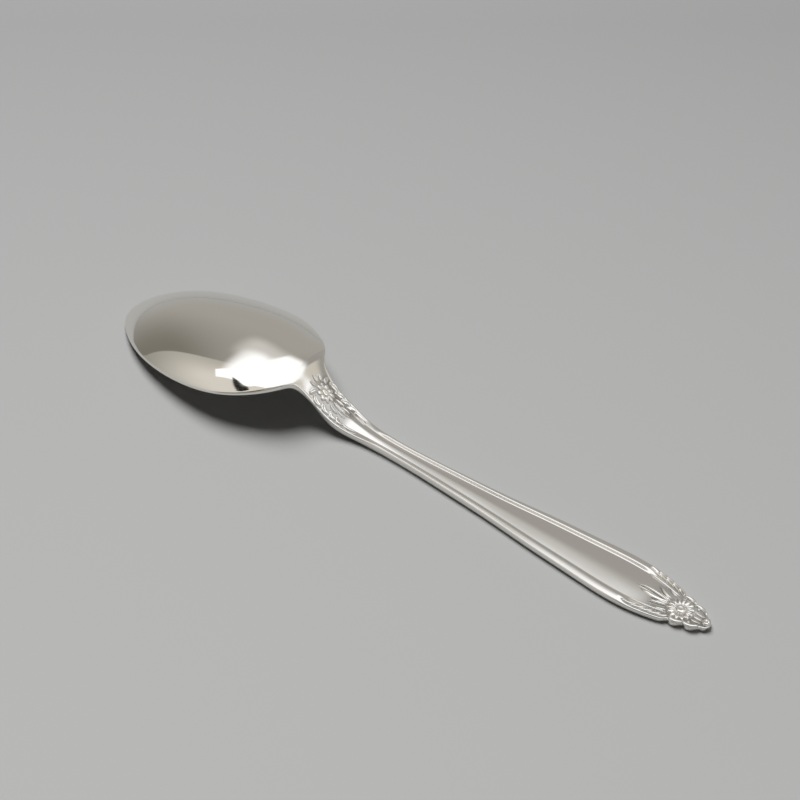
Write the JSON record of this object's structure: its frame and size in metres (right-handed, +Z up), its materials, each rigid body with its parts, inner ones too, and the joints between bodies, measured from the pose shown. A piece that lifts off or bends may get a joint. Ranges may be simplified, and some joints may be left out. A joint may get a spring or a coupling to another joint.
{
  "type": "teaspoon",
  "caption": "Sterling teaspoon lying face down: pointed oval bowl, dropped neck and a slender handle with a raised border moulding and flower and leaf relief.",
  "frame": {"origin": "middle of the spoon's length and width, on the plane of the table that it lies face down on", "axes": "+X from the bowl's tip towards the handle's end, +Z up out of the back of the spoon, +Y across"},
  "size_m": [0.152, 0.0308, 0.0129],
  "materials": {
    "polished_silver": "mirror-polished sterling silver",
    "handle_silver": "polished sterling silver with fine handling marks",
    "relief_silver": "struck and polished sterling silver relief, darker in the recesses"
  },
  "bodies": {
    "root": {"bowl": "polished_silver", "neck": "handle_silver", "stem": "handle_silver", "handle_panel": "handle_silver", "handle_tip": "handle_silver", "left_border": "relief_silver", "right_border": "relief_silver", "tip_flower": "relief_silver", "tip_flower_eye": "relief_silver", "tip_leaves": "relief_silver", "left_tip_husk": "relief_silver", "right_tip_husk": "relief_silver", "tip_lobes": "relief_silver", "tip_fan": "relief_silver", "neck_flower": "relief_silver", "neck_flower_eye": "relief_silver", "neck_leaves": "relief_silver", "neck_bud": "relief_silver", "left_neck_leaves": "relief_silver", "right_neck_leaves": "relief_silver"}
  },
  "joints": []
}
